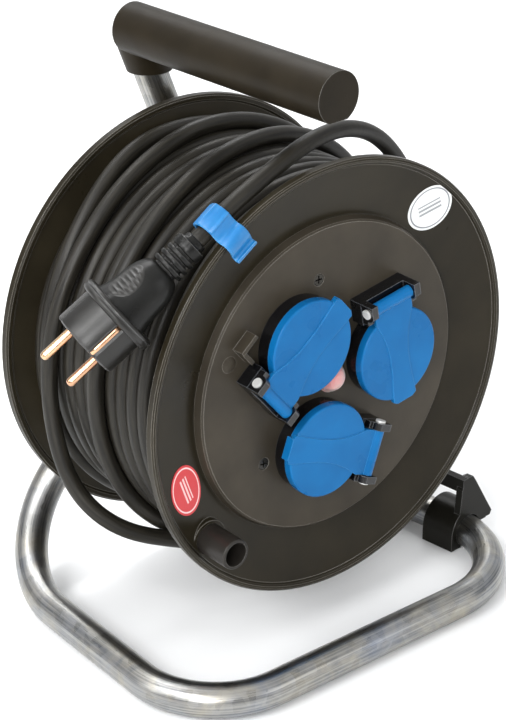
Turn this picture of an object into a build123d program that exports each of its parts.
from build123d import *
import math
import os

# Portable extension cord reel, in millimetres, +Z up.
# The drum turns about an axis parallel to Y; its socket side is the front and faces -Y.
# Shapes are drawn around the drum's centre and moved on export, so that the origin is
# the middle of the footprint, on the floor.
# Each piece has a function named after its file.

# ---------------------------------------------------------------- shared dimensions
AXIS_H = 145.8                        # drum axis above the floor
ORIGIN_SHIFT = (11.319, 7.106, AXIS_H)

RIM_R = 120.0
HALF_W = 66.5                         # drum half width over the rim beads
WEB_Y = 57.0                          # outer face of each flange web
FLANGE_T = 2.4
SLOPE_R0, SLOPE_R1 = 87.4, 115.5      # dished zone of the flange
SLOPE_Y1 = 64.3                       # outer face of the flange at SLOPE_R1
CORE_R, CORE_T = 70.0, 2.5
PANEL_R, PANEL_Y, PANEL_T = 85.5, 62.0, 2.5
PIN_PITCH = 19.0                      # between the two pins of a plug
CABLE_R = 4.5


# ---------------------------------------------------------------- helpers
def save(name, shapes):
    """Write all solids of a shape, or of a list of shapes, as one STEP file."""
    if not isinstance(shapes, list):
        shapes = [shapes]
    solids = [solid for shape in shapes for solid in shape.solids()]
    body = solids[0] if len(solids) == 1 else Compound(children=solids)
    export_step(Pos(*ORIGIN_SHIFT) * body, "parts/" + name + ".step")


def soften(shape, radius, edges):
    """Round the given edges; halve the radius or keep them sharp if the kernel can't."""
    for r in (radius, radius * 0.5):
        # the fillet may fail on an edge next to short faces
        try:
            out = shape.fillet(r, edges)
            if out.is_valid:
                return out
        except Exception:
            pass
    return shape


def circles(shape):
    return shape.edges().filter_by(GeomType.CIRCLE)


def spin_profile(points):
    """Closed profile of (radius, y) points turned about the Y axis."""
    face = make_face(Polyline(*[(r, y, 0) for r, y in points], close=True))
    return revolve(face, Axis((0, 0, 0), (0, 1, 0)), 360)


def ycyl(r, y0, y1, x=0.0, z=0.0):
    return Pos(x, (y0 + y1) / 2, z) * (Rot(90, 0, 0) * Cylinder(r, abs(y1 - y0)))


def yring(outer_r, inner_r, y0, y1):
    return ycyl(outer_r, y0, y1) - ycyl(inner_r, min(y0, y1) - 1, max(y0, y1) + 1)


def zcyl(r, z0, z1, x=0.0, y=0.0):
    return Pos(x, y, (z0 + z1) / 2) * Cylinder(r, z1 - z0)


def polar(r, deg):
    angle = math.radians(deg)
    return r * math.cos(angle), r * math.sin(angle)


def three_around(r, first_deg):
    return [polar(r, first_deg + 120 * k) for k in range(3)]


def bar(start, end, r):
    """Round bar between two points."""
    start, end = Vector(*start), Vector(*end)
    along = end - start
    return extrude(Plane(origin=start, z_dir=along) * Circle(r), along.length)


def bent_wire(points, radii):
    """Straight runs joined by tangent arcs of the given radii."""
    points = [Vector(*p) for p in points]
    edges = []
    start = points[0]
    for before, corner, after, r in zip(points, points[1:], points[2:], radii):
        u, v = (before - corner).normalized(), (after - corner).normalized()
        half = math.acos(max(-1, min(1, u.dot(v)))) / 2
        setback = r / math.tan(half)
        arc_start, arc_end = corner + u * setback, corner + v * setback
        inward = (u + v).normalized()
        arc_mid = corner + inward * (r / math.sin(half)) - inward * r
        edges.append(Edge.make_line(start, arc_start))
        edges.append(Edge.make_three_point_arc(arc_start, arc_mid, arc_end))
        start = arc_end
    edges.append(Edge.make_line(start, points[-1]))
    return Wire(edges)


def swept(wire, r):
    return sweep(Plane(origin=wire @ 0, z_dir=wire % 0) * Circle(r), path=wire)


def cable(points, r=CABLE_R):
    """Round cable through the given points: short straights joined by tangent arcs."""
    points = [Vector(*p) for p in points]
    radii = []
    for before, corner, after in zip(points, points[1:], points[2:]):
        u, v = before - corner, after - corner
        angle = math.acos(max(-1, min(1, u.normalized().dot(v.normalized()))))
        radii.append(0.45 * min(u.length, v.length) * math.tan(angle / 2))
    return swept(bent_wire(points, radii), r)


# ---------------------------------------------------------------- frame and grip
TUBE_R, TUBE_T = 9.25, 1.5
LOOP_Z = TUBE_R - AXIS_H              # centre line of the floor loop
REAR_Y = 82.8                         # plane of the rear strut and upright
REAR_LEFT = (-117.5, REAR_Y, LOOP_Z)
FRONT_LEFT = (-126.9, -109.7, LOOP_Z)
FRONT_RIGHT = (121.0, -106.3, LOOP_Z)
REAR_RIGHT = (101.1, REAR_Y, LOOP_Z)
TOP_BEND, FRONT_RIGHT_BEND = 17.5, 61.0
FRAME_BENDS = [TOP_BEND, 40.0, FRONT_RIGHT_BEND, 47.5, 61.5]   # from the grip onwards

UPRIGHT_X0, UPRIGHT_SLOPE = 46.9, 0.3968       # x at axis height, shift in x per mm down
GRIP_X, GRIP_Y0, GRIP_Z = -7.0, -73.0, 157.5   # grip centre line at its free end
GRIP_R = 13.8
GRIP_REAR = 1.4                       # how far the grip runs past the upright
GRIP_FLAT = 12.4                      # flat underside below the grip's centre line
FOOT_R, FOOT_Z = 12.0, 132.3          # sleeve round the upright and its lower end
TUBE_INSET = 33.0                     # tube end behind the grip's free end, along Y


def upright_at(z):
    return (UPRIGHT_X0 - UPRIGHT_SLOPE * z, REAR_Y, z)


# the strut climbs from the rear left corner, across the drum axis, to the upright
STRUT_RISE = LOOP_Z / REAR_LEFT[0]
STRUT_DIR = Vector(1, 0, STRUT_RISE).normalized()
strut_top_x = UPRIGHT_X0 / (1 + UPRIGHT_SLOPE * STRUT_RISE)
STRUT_START = Vector(-60.0, REAR_Y, -60.0 * STRUT_RISE)
STRUT_END = Vector(strut_top_x, REAR_Y, strut_top_x * STRUT_RISE)

GRIP_TOP = upright_at(GRIP_Z)
GRIP_DIR = Vector(GRIP_TOP[0] - GRIP_X, REAR_Y - GRIP_Y0, 0).normalized()
tube_end_x = GRIP_X + (GRIP_TOP[0] - GRIP_X) * TUBE_INSET / (REAR_Y - GRIP_Y0)
FRAME_PATH = [
    (tube_end_x, GRIP_Y0 + TUBE_INSET, GRIP_Z),
    GRIP_TOP, REAR_RIGHT, FRONT_RIGHT, FRONT_LEFT, REAR_LEFT, STRUT_START,
]


def frame_tube():
    bore_r = TUBE_R - TUBE_T
    wire = bent_wire(FRAME_PATH, FRAME_BENDS)
    main = swept(wire, TUBE_R) - swept(wire, bore_r)
    strut = bar(STRUT_START, STRUT_END, TUBE_R) - bar(STRUT_START - STRUT_DIR, STRUT_END, bore_r)
    strut -= bar(upright_at(90), upright_at(-60), TUBE_R)
    return main + strut - ycyl(4.2, 60, 110)


def handle_grip():
    """Long handle with a flat underside and a sleeve over the tube's top bend."""
    free_end = Vector(GRIP_X, GRIP_Y0, GRIP_Z)
    rear_end = Vector(*GRIP_TOP) + GRIP_DIR * GRIP_REAR
    grip = bar(free_end, rear_end, GRIP_R)
    for end, radius in ((rear_end, 6.0), (free_end, 1.0)):
        rim = [e for e in circles(grip) if abs(e.center().Y - end.Y) < 0.5]
        grip = soften(grip, radius, rim)
    foot_top = upright_at(GRIP_Z - 5.0)
    foot = bar(foot_top, upright_at(FOOT_Z - 8), FOOT_R)
    foot += Pos(*foot_top) * Sphere(FOOT_R)
    foot -= Pos(upright_at(FOOT_Z)[0], REAR_Y, FOOT_Z - 20) * Box(60, 60, 40)
    grip -= Pos(GRIP_X - 4, -10.0, GRIP_Z - GRIP_FLAT - 10.0) * Box(60, 150, 20)
    bore_path = [free_end + GRIP_DIR * 31.0, GRIP_TOP, upright_at(100)]
    return grip + foot - swept(bent_wire(bore_path, [TOP_BEND]), TUBE_R + 0.2)


# ---------------------------------------------------------------- stub axle on the strut
AXLE_R = 8.0
AXLE_BORE_R = AXLE_R + 0.05           # bush bore
STUD_R = 4.0                          # thinner end of the axle, through the strut
STUD_HOLE_R = 4.1
SEAT_R = TUBE_R + 0.02                # hollow that fits the strut
TUBE_FRONT_Y, TUBE_BACK_Y = REAR_Y - TUBE_R, REAR_Y + TUBE_R


def axle_saddle():
    saddle = ycyl(13, TUBE_FRONT_Y - 1.0, REAR_Y - 4.0)
    saddle -= bar(STRUT_START, STRUT_END + STRUT_DIR * 20, SEAT_R)
    return saddle - ycyl(STUD_HOLE_R, 50, 100)


def axle():
    shaft = ycyl(AXLE_R, 16.0, TUBE_FRONT_Y - 6.0)
    shaft += ycyl(11.0, TUBE_FRONT_Y - 6.0, TUBE_FRONT_Y - 1.02)
    shaft += ycyl(STUD_R, TUBE_FRONT_Y - 1.1, TUBE_BACK_Y + 12.0)
    return shaft - yring(9.5, 6.9, 18.0, 19.2)   # groove for the clip


def axle_rear_washer():
    washer = ycyl(10, REAR_Y + 4.0, TUBE_BACK_Y + 2.0)
    return washer - bar(STRUT_START, STRUT_END, SEAT_R) - ycyl(STUD_HOLE_R, 50, 120)


def axle_nut():
    seat = Plane(origin=(0, TUBE_BACK_Y + 2.02, 0), z_dir=(0, 1, 0))
    return extrude(seat * RegularPolygon(7.5, 6), 6.5) - ycyl(STUD_R + 0.02, 50, 130)


def axle_clip():
    return yring(10.5, 6.95, 18.1, 19.1) - Pos(0, 18.6, -9) * Box(7, 3, 10)


def thrust_washer():
    return yring(11.5, AXLE_BORE_R, 19.4, 20.6)


# ---------------------------------------------------------------- cable guide
# Two saddles over the leg on the +X side, each with an end plate, and a bar above it.
GUIDE_Y0, GUIDE_Y1 = -54.0, 39.0
SADDLE_R, SADDLE_LEN = 15.2, 22.0
GUIDE_PLATE_T = 4.5
GUIDE_BORE_R = TUBE_R + 0.03
# (outwards from the tube axis, up)
GUIDE_PLATE_OUTLINE = [
    (-9.0, 10.0), (-7.2, 27.5), (-5.0, 32.5), (-2.0, 34.5), (2.0, 34.0), (4.2, 30.8),
    (20.0, 5.0), (18.6, 2.4), (9.7, 2.4), (9.0, 9.0), (0, 11.5),
]
LEG_DIR = (Vector(*REAR_RIGHT) - Vector(*FRONT_RIGHT)).normalized()


def leg_plane(y):
    """Section across the leg: local x outwards, local y up, normal towards the front."""
    x = FRONT_RIGHT[0] + (y - FRONT_RIGHT[1]) * LEG_DIR.X / LEG_DIR.Y
    return Plane(origin=(x, y, LOOP_Z), x_dir=(LEG_DIR.Y, -LEG_DIR.X, 0), z_dir=-LEG_DIR)


def saddle_block(y0):
    plane = leg_plane(y0)
    face = plane * (Circle(SADDLE_R) + Pos(0, -4.6) * Rectangle(2 * SADDLE_R, 9.2))
    face -= plane * (Pos(16.0, -8.0) * Rectangle(13.0, 20.0))
    face = face - plane * Circle(GUIDE_BORE_R) - plane * (Pos(0, -9.0) * Rectangle(14.5, 14))
    face -= plane * (Pos(0, -14.25) * Rectangle(60, 10.2))
    return extrude(face, -SADDLE_LEN)


def guide_plate(y0):
    plane = leg_plane(y0)
    face = plane * make_face(Polyline(*GUIDE_PLATE_OUTLINE, close=True))
    return extrude(face - plane * Circle(GUIDE_BORE_R), -GUIDE_PLATE_T)


def cable_guide():
    guide = saddle_block(GUIDE_Y0) + guide_plate(GUIDE_Y0)
    guide = guide + saddle_block(GUIDE_Y1 - SADDLE_LEN) + guide_plate(GUIDE_Y1 - GUIDE_PLATE_T)
    bar_face = leg_plane(GUIDE_Y0) * (Pos(-4.2, 29.8) * Rectangle(4.6, 8.6))
    guide += extrude(bar_face, GUIDE_Y0 - GUIDE_Y1)
    leg = bent_wire([REAR_RIGHT, FRONT_RIGHT, FRONT_LEFT], [FRONT_RIGHT_BEND])
    return guide - swept(leg, GUIDE_BORE_R)


# ---------------------------------------------------------------- drum shell
KNOB_X, KNOB_Z = -82.5, -66.5
KNOB_R, KNOB_NECK_R, KNOB_BORE_R = 8.25, 6.0, 6.6
KNOB_Y0, KNOB_Y1 = 61.6, 85.0
HUB_BORE_R, HUB_Y0, HUB_Y1 = 12.0, 22.0, 60.0
SCREW_BOSS_R, SCREW_SHANK_R, SCREW_PILOT_R = 4.6, 1.6, 1.65
PANEL_SCREWS_AT = three_around(58.0, 98.8)
CORE_SCREWS_AT = three_around(58.0, 30)
CORD_A, CORD_Y = 305.0, 26.0          # where the cable passes through the core
SOCKET_HOLE_R = 23.4


def cord_bar(from_r, to_r, r):
    """Bar along the line of the cable through the core wall."""
    (x0, z0), (x1, z1) = polar(from_r, CORD_A), polar(to_r, CORD_A)
    return bar((x0, CORD_Y, z0), (x1, CORD_Y, z1), r)


def flange_profile(hole_r):
    """(radius, y) of the front flange; the rear one is its mirror image."""
    return [
        (hole_r, -WEB_Y), (SLOPE_R0, -WEB_Y), (SLOPE_R1, -SLOPE_Y1), (116.3, -65.6),
        (117.2, -HALF_W + 0.15), (118.2, -HALF_W), (119.3, -HALF_W + 0.35),
        (RIM_R, -HALF_W + 1.3), (RIM_R, -61.6), (119.0, -60.8), (116.8, -60.8),
        (115.6, -SLOPE_Y1 + FLANGE_T), (SLOPE_R0 - 0.3, -WEB_Y + FLANGE_T),
        (hole_r, -WEB_Y + FLANGE_T),
    ]


def front_flange():
    flange = spin_profile(flange_profile(66.0))
    flange += yring(67.2, 65.0, -WEB_Y, -49.0)
    flange += ycyl(10.3, -63.6, -59.0, KNOB_X, KNOB_Z)
    # stepped hole for the knob's neck, body and snap end
    flange -= ycyl(KNOB_NECK_R + 0.08, -70, -50, KNOB_X, KNOB_Z)
    flange -= ycyl(KNOB_R + 0.25, -70, -KNOB_Y0 + 0.1, KNOB_X, KNOB_Z)
    return flange - ycyl(7.4, -58.8, -40, KNOB_X, KNOB_Z)


def rear_flange():
    flange = spin_profile([(r, -y) for r, y in flange_profile(12.5)])
    for bead_r in (116.9, 118.2):
        flange += yring(bead_r + 0.35, bead_r - 0.35, HALF_W - 0.6, HALF_W)
    flange += yring(16.0, HUB_BORE_R, HUB_Y0, HUB_Y1)
    flange += yring(67.2, 65.0, 48.0, WEB_Y - 0.5)
    for k in range(6):
        flange += Rot(0, -60 * k, 0) * (Pos(40.5, 48.0, 0) * Box(50, 16, 2.2))
    for x, z in CORE_SCREWS_AT:
        flange += ycyl(5.5, WEB_Y - 2, 48.0, x, z)
        flange = flange - ycyl(2.2, 40, 70, x, z) - ycyl(4.2, WEB_Y - 2.4, 70, x, z)
    return flange - ycyl(HUB_BORE_R, 10, 80)


def core_boss(x, z, y0, y1):
    """Screw boss with a web out to the core wall."""
    wall_r = CORE_R - CORE_T + 0.4
    r = math.hypot(x, z)
    web = Pos((r + wall_r) / 2, (y0 + y1) / 2, 0) * Box(wall_r - r, y1 - y0, 3.0)
    web = Rot(0, -math.degrees(math.atan2(z, x)), 0) * web
    return (ycyl(SCREW_BOSS_R, y0, y1, x, z) + web) - ycyl(SCREW_PILOT_R, y0 - 1, y1 + 1, x, z)


def winding_core():
    end_y = WEB_Y - FLANGE_T - 0.02
    core = yring(CORE_R, CORE_R - CORE_T, -end_y, end_y)
    for x, z in CORE_SCREWS_AT:
        core += core_boss(x, z, 33.0, 47.9)
    for x, z in PANEL_SCREWS_AT:
        core += core_boss(x, z, -48.9, -30.0)
    return core - cord_bar(60, 80, CABLE_R + 0.6)


def hub_bush():
    return (yring(HUB_BORE_R, AXLE_BORE_R, HUB_Y0, HUB_Y1 + 0.1)
            + yring(15.5, AXLE_BORE_R, HUB_Y1 + 0.02, 62.2))


def screw(x, z, head_y, inward, head_r, head_h, length):
    """Cross-recess screw driven along Y, inward being +1 or -1."""
    body = ycyl(head_r, head_y, head_y + inward * head_h, x, z)
    body += ycyl(SCREW_SHANK_R, head_y + inward * (head_h - 0.1), head_y + inward * length, x, z)
    cross = Box(head_r * 1.35, 1.5, 0.75) + Box(0.75, 1.5, head_r * 1.35)
    return body - Pos(x, head_y + inward * 0.55, z) * cross


def panel_screws():
    return [screw(x, z, -PANEL_Y + 0.15, inward=1, head_r=3.2, head_h=1.7, length=26)
            for x, z in PANEL_SCREWS_AT]


def core_screws():
    return [screw(x, z, WEB_Y - 0.1, inward=-1, head_r=4.0, head_h=2.25, length=22)
            for x, z in CORE_SCREWS_AT]


# ---------------------------------------------------------------- socket places
# Each socket has its own frame: x from its lid hinge to its lid tab (the hinge lies
# inwards-clockwise of it), z towards the front, z = 0 on the drum's middle plane.
SOCKET_A0 = 10.5                      # angle of the first socket
SOCKETS_AT = three_around(36.6, SOCKET_A0)


def socket_frame(k):
    x, z = SOCKETS_AT[k]
    ux, uz = polar(1, SOCKET_A0 + 120 * k - 90)
    return Plane(origin=(x, 0, z), x_dir=(ux, 0, uz), z_dir=(0, -1, 0)).location


SOCKET_FRAMES = [socket_frame(k) for k in range(3)]


def at_sockets(shapes):
    return [frame * shape for frame in SOCKET_FRAMES for shape in shapes]


def socket_panel():
    """Shallow cap standing on the flange web, with a hole for each socket."""
    foot_y = -WEB_Y - 0.02
    back_y = -PANEL_Y + PANEL_T
    panel = spin_profile([
        (4.6, -PANEL_Y), (PANEL_R - 1.0, -PANEL_Y), (PANEL_R, -PANEL_Y + 0.9),
        (86.9, foot_y), (84.6, foot_y), (83.2, back_y), (4.6, back_y),
    ])
    for x, z in SOCKETS_AT:
        panel -= ycyl(SOCKET_HOLE_R, -80, -40, x, z)
    for x, z in PANEL_SCREWS_AT:
        panel += ycyl(SCREW_BOSS_R, back_y - 0.5, -48.95, x, z)
        panel -= ycyl(1.75, -80, -40, x, z)
        panel -= ycyl(3.4, -PANEL_Y - 1, -PANEL_Y + 1.95, x, z)
    # low dome and L-shaped rib beside the second socket
    dome = Pos(-67.9, -PANEL_Y + 7.6, 27.2) * Sphere(8.8)
    panel += dome & (Pos(-67.9, -62.4, 27.2) * Box(20, 1.8, 20))
    panel += SOCKET_FRAMES[1] * (Pos(-21.0, 31.4, 65.0) * Box(12.0, 2.4, 8.4))
    return panel + SOCKET_FRAMES[1] * (Pos(-25.8, 26.0, 64.2) * Box(2.4, 11.0, 6.8))


def panel_gasket():
    return yring(82.4, 79.6, -WEB_Y - 2.45, -WEB_Y - 0.02)


# ---------------------------------------------------------------- sockets and lids
# All in the socket frame; a name ending in _H is a height along its z.
COLLAR_R, COLLAR_H = 25.3, 70.0       # raised collar
WELL_R = 20.0                         # the well a plug goes into
WELL_FLOOR_H = COLLAR_H - 17.5
LID_R, LID_H, SKIRT_H = 26.0, 75.2, 70.35   # lid radius, outer face, skirt edge
LID_INNER_R = LID_R - 1.7
HINGE_D, HINGE_H = 33.0, 74.75        # hinge axis from the socket axis
BARREL_R, BARREL_HALF = 3.3, 12.6
HINGE_PIN_R, HINGE_PIN_HALF = 1.5, 17.6
EAR_R, EAR_Y = 4.3, 14.9
LID_TAB = 28.2                        # reach of the lift tab
# waisted band across the lid: (x, half width)
LID_BAND = [
    (-HINGE_D + 2.2, BARREL_HALF), (-24.0, BARREL_HALF), (-16.0, 9.3), (-8.0, 7.2),
    (0, 6.3), (8.0, 6.3), (16.0, 6.9), (23.0, 7.6), (LID_TAB - 1.6, 7.9), (LID_TAB, 5.2),
]


def hinge_cyl(r, length, y=0.0):
    """Cylinder on the hinge axis, centred at y."""
    return Pos(-HINGE_D, y, HINGE_H) * (Rot(90, 0, 0) * Cylinder(r, length))


def hinge_ear(y):
    ear = Pos(-31.6, y, 70.6) * Box(11.8, 4.0, 17.1) + hinge_cyl(EAR_R, 4.0, y)
    keep = Pos(-35.4, y, 70.6) * Box(5.0, 4.4, 17.3) + Pos(-31.6, y, 66.9) * Box(12.0, 4.4, 15.6)
    return ear & (keep + hinge_cyl(4.9, 4.4, y))


def socket_insert():
    body = zcyl(22.8, 46.0, PANEL_Y + 0.5) + zcyl(COLLAR_R, PANEL_Y + 0.02, COLLAR_H)
    body += zcyl(18.5, 37.0, 46.5)
    body -= zcyl(WELL_R, WELL_FLOOR_H, COLLAR_H + 1)
    for side in (-1, 1):
        body -= zcyl(2.9, 36.0, WELL_FLOOR_H + 1, 0, side * PIN_PITCH / 2)
        body -= Pos(side * 20.4, 0, 60.0) * Box(2.4, 4.6, 17.0)   # earth clip slot
    base = Pos(-31.0, 0, 66.2) * Box(13.0, 34.0, 8.3) - zcyl(COLLAR_R - 0.5, 60, 72)
    ears = hinge_ear(-EAR_Y) + hinge_ear(EAR_Y)
    ears -= zcyl(COLLAR_R - 0.5, 60, 80)
    ears -= Pos(-31.6, 0, HINGE_H + EAR_R + 5) * Box(30, 60, 10)
    ears -= zcyl(LID_R + 0.7, SKIRT_H - 0.5, 90)      # room for the lid
    body = body + (base + ears) - hinge_cyl(BARREL_R + 0.7, 2 * BARREL_HALF + 0.6)
    return body - hinge_cyl(HINGE_PIN_R, 60)


def lid():
    """Cap with skirt, raised band, lift tab and hinge barrel."""
    cap = zcyl(LID_R, SKIRT_H, LID_H) - zcyl(LID_INNER_R, SKIRT_H - 1, LID_H - 1.9)
    cap = soften(cap, 1.0, circles(cap).sort_by(Axis.Z)[-1:])
    outline = [(x, -w) for x, w in LID_BAND] + [(x, w) for x, w in reversed(LID_BAND)]
    band_face = make_face(Polyline(*outline, close=True))
    cap += extrude(Plane(origin=(0, 0, LID_H - 1.4)) * band_face, 2.1)
    tab = Pos(LID_TAB - 2.2, 0, (SKIRT_H + LID_H) / 2 + 0.3) * Box(4.4, 12.0, LID_H - SKIRT_H - 0.4)
    cap += tab - zcyl(LID_R - 1.0, 60, LID_H - 1.0)
    arm = Pos(-28.5, 0, LID_H - 1.0) * Box(8.0, 2 * BARREL_HALF, 2.8)
    cap += arm - zcyl(LID_R - 1.0, 60, 90)
    cap += hinge_cyl(BARREL_R, 2 * BARREL_HALF)
    cap -= hinge_cyl(HINGE_PIN_R + 0.05, 40)
    cap -= hinge_cyl(2.75, 10.0, -1.6)                # spring pocket
    return cap - zcyl(LID_INNER_R, SKIRT_H - 1, LID_H - 1.9)


def lid_seal():
    return zcyl(24.0, 70.05, LID_H - 1.92) - zcyl(20.6, 69, LID_H)


def socket_contacts():
    tubes = []
    for y in (-PIN_PITCH / 2, PIN_PITCH / 2):
        tubes.append(zcyl(2.85, 38.0, WELL_FLOOR_H - 1.0, 0, y) - zcyl(2.45, 39.5, WELL_FLOOR_H, 0, y))
    return at_sockets(tubes)


def earth_clips():
    return at_sockets([Pos(side * 20.75, 0, 60.3) * Box(0.9, 4.0, 15.2) for side in (-1, 1)])


def hinge_pins():
    pin = hinge_cyl(HINGE_PIN_R - 0.02, 2 * HINGE_PIN_HALF)
    for side in (-1, 1):
        pin += hinge_cyl(2.7, 1.0, side * (HINGE_PIN_HALF - 0.2))
    return at_sockets([pin])


def lid_springs():
    helix = Rot(-90, 0, 0) * Helix(pitch=1.15, height=8.0, radius=2.35)
    wire = Wire([(Pos(-HINGE_D, -6.0, HINGE_H) * helix).edge()])
    section = Plane(origin=wire @ 0, z_dir=wire % 0) * Circle(0.32)
    return at_sockets([sweep(section, path=wire, is_frenet=True)])


# ---------------------------------------------------------------- inside the drum, reset
def thermal_cutout():
    body = Pos(0, -44.0, 0) * Box(15.0, 22.0, 15.0)
    body += ycyl(6.2, -57.3, -54.9)
    return body - ycyl(2.2, -70, -48.0)


def reset_button():
    return ycyl(3.6, -64.3, -59.2) + ycyl(2.1, -59.3, -51.5)


def reset_dome():
    return spin_profile([
        (0.0, -67.6), (2.5, -67.4), (4.6, -66.7), (6.2, -65.2), (6.9, -63.4), (7.0, -62.02),
        (8.6, -62.02), (8.6, -62.6), (7.6, -63.2), (7.3, -65.0), (6.2, -66.6), (4.8, -67.7),
        (2.6, -68.3), (0.0, -68.5),
    ])


def terminal_block():
    block = Pos(20.0, 8.0, -20.0) * Box(34, 14, 20)
    for i in (-1, 0, 1):
        block -= Pos(20.0 + 10 * i, 8.0, -20.0) * Cylinder(1.8, 30)
    return block


def inner_wires():
    """One wire from each socket to the terminal block."""
    return [cable([(x, -36.6, z), (x, -33.0, z), (x * 0.8, -25.0, z * 0.8),
                   (11.0 + 9 * i, -10.0, -14.0), (10.0 + 10 * i, 0.7, -16.0)], 1.5)
            for i, (x, z) in enumerate(SOCKETS_AT)]


def cord_clamp():
    x, z = polar(61.2, CORD_A)
    block = Pos(x, CORD_Y, z) * (Rot(0, -CORD_A, 0) * Box(11, 24, 20))
    return block - cord_bar(40, 80, CABLE_R + 0.02)


def crank_knob():
    knob = ycyl(KNOB_R, -KNOB_Y0, -KNOB_Y1, KNOB_X, KNOB_Z)
    knob = soften(knob, 0.8, circles(knob).sort_by(Axis.Y)[:1])
    knob += ycyl(KNOB_NECK_R, -KNOB_Y0 - 0.5, -58.6, KNOB_X, KNOB_Z)
    knob += Pos(KNOB_X, -57.9, KNOB_Z) * (Rot(90, 0, 0) * Cone(5.6, 6.9, 1.6))   # snap end
    knob -= ycyl(KNOB_BORE_R, -90, -64.2, KNOB_X, KNOB_Z)
    return knob - ycyl(3.6, -70, -50, KNOB_X, KNOB_Z)


# ---------------------------------------------------------------- cable and plug
CABLE_ENTRY = Vector(-82.1, -54.6, 95.8)              # at the tail of the plug
PLUG_DIR = Vector(-0.748, 0.246, -0.616).normalized()   # towards the pins
PLUG_LEN = 74.6                                       # cable entry to pin face
pin_row = Vector(0.4826, -0.3526, -0.8026)
pin_row = (pin_row - PLUG_DIR * pin_row.dot(PLUG_DIR)).normalized()
# plug frame: z = 0 at the pin face, pins towards +z and spaced along x
PLUG_FRAME = Plane(origin=CABLE_ENTRY + PLUG_DIR * PLUG_LEN, x_dir=pin_row, z_dir=PLUG_DIR).location
PIN_R, PIN_LEN = 2.4, 19.0
PIN_ROOT_R = PIN_R - 0.3

# stations round the drum: (radius, angle in degrees, y)
LEAD_STATIONS = [
    (125.8, 124.0, -56.2), (125.2, 118.0, -56.2), (124.5, 108.0, -55.0), (125.5, 97.0, -50.0),
    (127.0, 86.0, -43.5), (127.3, 76.0, -38.0), (126.3, 67.0, -33.5), (122.5, 57.0, -29.5),
    (117.0, 46.0, -26.5), (112.5, 34.0, -25.0), (111.8, 22.0, -24.5),
]
SLACK_STATIONS = [
    (112.1, 178.8, 34.0), (117.2, 194.9, 28.0), (124.9, 207.2, 19.0), (127.8, 216.8, 5.0),
    (122.7, 226.1, -7.0), (112.6, 242.6, -16.0), (112.0, 268.0, -22.0),
]
# neck sections: (z, radius in x, radius in y)
NECK_SECTIONS = [(-24.5, 14.6, 16.2), (-34.0, 12.6, 15.2), (-45.0, 10.8, 12.0), (-56.0, 7.6, 7.8)]


def drum_path(stations, step=5.0):
    """Points about every step degrees, radius and y eased between stations."""
    def point(r, deg, y):
        x, z = polar(r, deg)
        return (x, y, z)

    out = []
    for (r0, a0, y0), (r1, a1, y1) in zip(stations, stations[1:]):
        n = max(1, round(abs(a1 - a0) / step))
        for i in range(n):
            f = i / n
            ease = f * f * (3 - 2 * f)
            out.append(point(r0 + (r1 - r0) * ease, a0 + (a1 - a0) * f, y0 + (y1 - y0) * ease))
    return out + [point(*stations[-1])]


def cable_pack():
    return yring(107.0, CORE_R + 0.05, -54.2, 54.2)


def cable_lead():
    start = [CABLE_ENTRY + PLUG_DIR * 6.0, CABLE_ENTRY - PLUG_DIR * 4.0]
    return cable(start + drum_path(LEAD_STATIONS))


def cable_slack():
    return cable(drum_path(SLACK_STATIONS))


def plug_body():
    front = Pos(0, 0, -10.5) * Cylinder(18.4, 21.0)
    for side in (-1, 1):
        front -= Pos(side * 18.4, 0, -9.0) * Box(3.6, 5.4, 22.0)
    disc = Pos(0, 0, -22.0) * Cylinder(21.6, 5.4)
    disc = soften(disc, 2.0, circles(disc))
    neck = loft(Sketch() + [Plane(origin=(0, 0, z)) * Ellipse(rx, ry) for z, rx, ry in NECK_SECTIONS])
    relief = Pos(0, 0, -65.3) * Cone(6.0, 7.2, 18.8)
    for i in range(4):
        relief -= Pos(0, 0, -59.5 - 3.6 * i) * (Cylinder(9, 1.5) - Cylinder(5.4, 1.6))
    plug = front + disc + neck + relief
    plug -= Pos(0, 0, -71.0) * Cylinder(CABLE_R + 0.06, 14.0)
    for side in (-1, 1):
        plug -= Pos(side * PIN_PITCH / 2, 0, -6.0) * Cylinder(PIN_ROOT_R, 14.0)
        plug -= Pos(0, side * 18.0, -9.4) * Box(3.2, 1.6, 19.0)
    return PLUG_FRAME * plug


def plug_pins():
    pins = []
    for x in (-PIN_PITCH / 2, PIN_PITCH / 2):
        pin = Pos(x, 0, (PIN_LEN + 0.3) / 2) * Cylinder(PIN_R, PIN_LEN - 0.3)
        pin = soften(pin, 1.5, circles(pin).sort_by(Axis.Z)[-1:])
        pin += Pos(x, 0, -5.7) * Cylinder(PIN_ROOT_R, 12.6)
        pins.append(PLUG_FRAME * pin)
    return pins


def plug_earth_strips():
    return [PLUG_FRAME * (Pos(0, side * 17.95, -9.4) * Box(3.0, 1.4, 18.6)) for side in (-1, 1)]


# ---------------------------------------------------------------- cable clip
CLIP_A, CLIP_T, CLIP_W = 125.0, 1.6, 14.0
HOOK_R, HOOK_Y, HOOK_RC = 6.4, -56.2, 125.7   # hook radius and its centre (y, radius)
# (y, radius) of the strip's centre line from the hook over the rim bead
CLIP_TAIL = [(-63.4, 123.6), (-65.6, 122.3), (-67.6, 120.6), (-68.5, 117.6), (-68.3, 114.0),
             (-67.9, 110.9), (-68.9, 108.2)]


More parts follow.
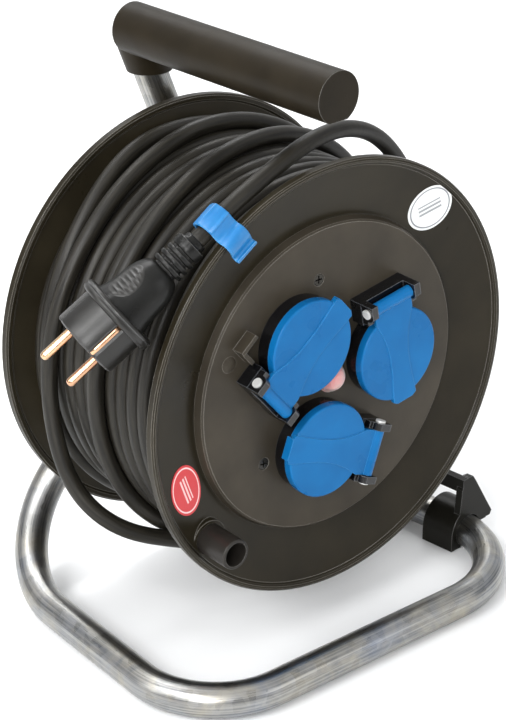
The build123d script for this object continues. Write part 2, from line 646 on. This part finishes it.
def cable_clip():
    """S-shaped strip hooked over the lead and over the rim bead."""
    middle = []
    for deg in range(-35, 173, 23):
        dy, dr = polar(HOOK_R, deg)
        middle.append((HOOK_Y + dy, HOOK_RC + dr))
    middle += CLIP_TAIL
    left, right = [], []
    for i, (y, r) in enumerate(middle):
        y0, r0 = middle[max(i - 1, 0)]
        y1, r1 = middle[min(i + 1, len(middle) - 1)]
        scale = CLIP_T / 2 / math.hypot(y1 - y0, r1 - r0)
        off_y, off_r = -(r1 - r0) * scale, (y1 - y0) * scale
        left.append((y + off_y, r + off_r))
        right.append((y - off_y, r - off_r))
    face = make_face(Polyline(*(left + right[::-1]), close=True))
    x, z = polar(1, CLIP_A)
    # local x = reel Y, local y = radial direction
    plane = Plane(origin=(0, 0, 0), x_dir=(0, 1, 0), z_dir=Vector(0, 1, 0).cross(Vector(x, 0, z)))
    return extrude(plane * face, CLIP_W / 2, both=True)


# ---------------------------------------------------------------- labels
def label_shell():
    """Thin skin just off the dished face of the front flange."""
    slope = (SLOPE_Y1 - WEB_Y) / (SLOPE_R1 - SLOPE_R0)
    r0, r1 = SLOPE_R0 + 0.5, SLOPE_R1 - 0.2
    y0, y1 = [-WEB_Y - slope * (r - SLOPE_R0) for r in (r0, r1)]
    return spin_profile([(r0, y0 - 0.03), (r1, y1 - 0.03), (r1, y1 - 0.33), (r0, y0 - 0.33)])


def label_round():
    return label_shell() & ycyl(13.3, -80, -40, 68.4, 77.0)


def label_oval():
    plane = Plane(origin=(-95.4, -40, -35.0), x_dir=(-0.936, 0, -0.343), z_dir=(0, -1, 0))
    return label_shell() & extrude(plane * Ellipse(10.6, 14.6), 40)


# ---------------------------------------------------------------- write
os.makedirs("parts", exist_ok=True)
for piece in (
    frame_tube, handle_grip, axle_saddle, axle, axle_rear_washer, axle_nut, axle_clip,
    thrust_washer, cable_guide, front_flange, rear_flange, winding_core, socket_panel,
    panel_gasket, panel_screws, core_screws, hub_bush, socket_contacts, earth_clips,
    hinge_pins, lid_springs, thermal_cutout, reset_button, reset_dome, terminal_block,
    inner_wires, cord_clamp, crank_knob, cable_pack, cable_lead, cable_slack, plug_body,
    plug_pins, plug_earth_strips, cable_clip, label_round, label_oval,
):
    save(piece.__name__, piece())
for piece in (socket_insert, lid, lid_seal):
    for number, placed in enumerate(at_sockets([piece()]), 1):
        save(f"{piece.__name__}_{number}", placed)
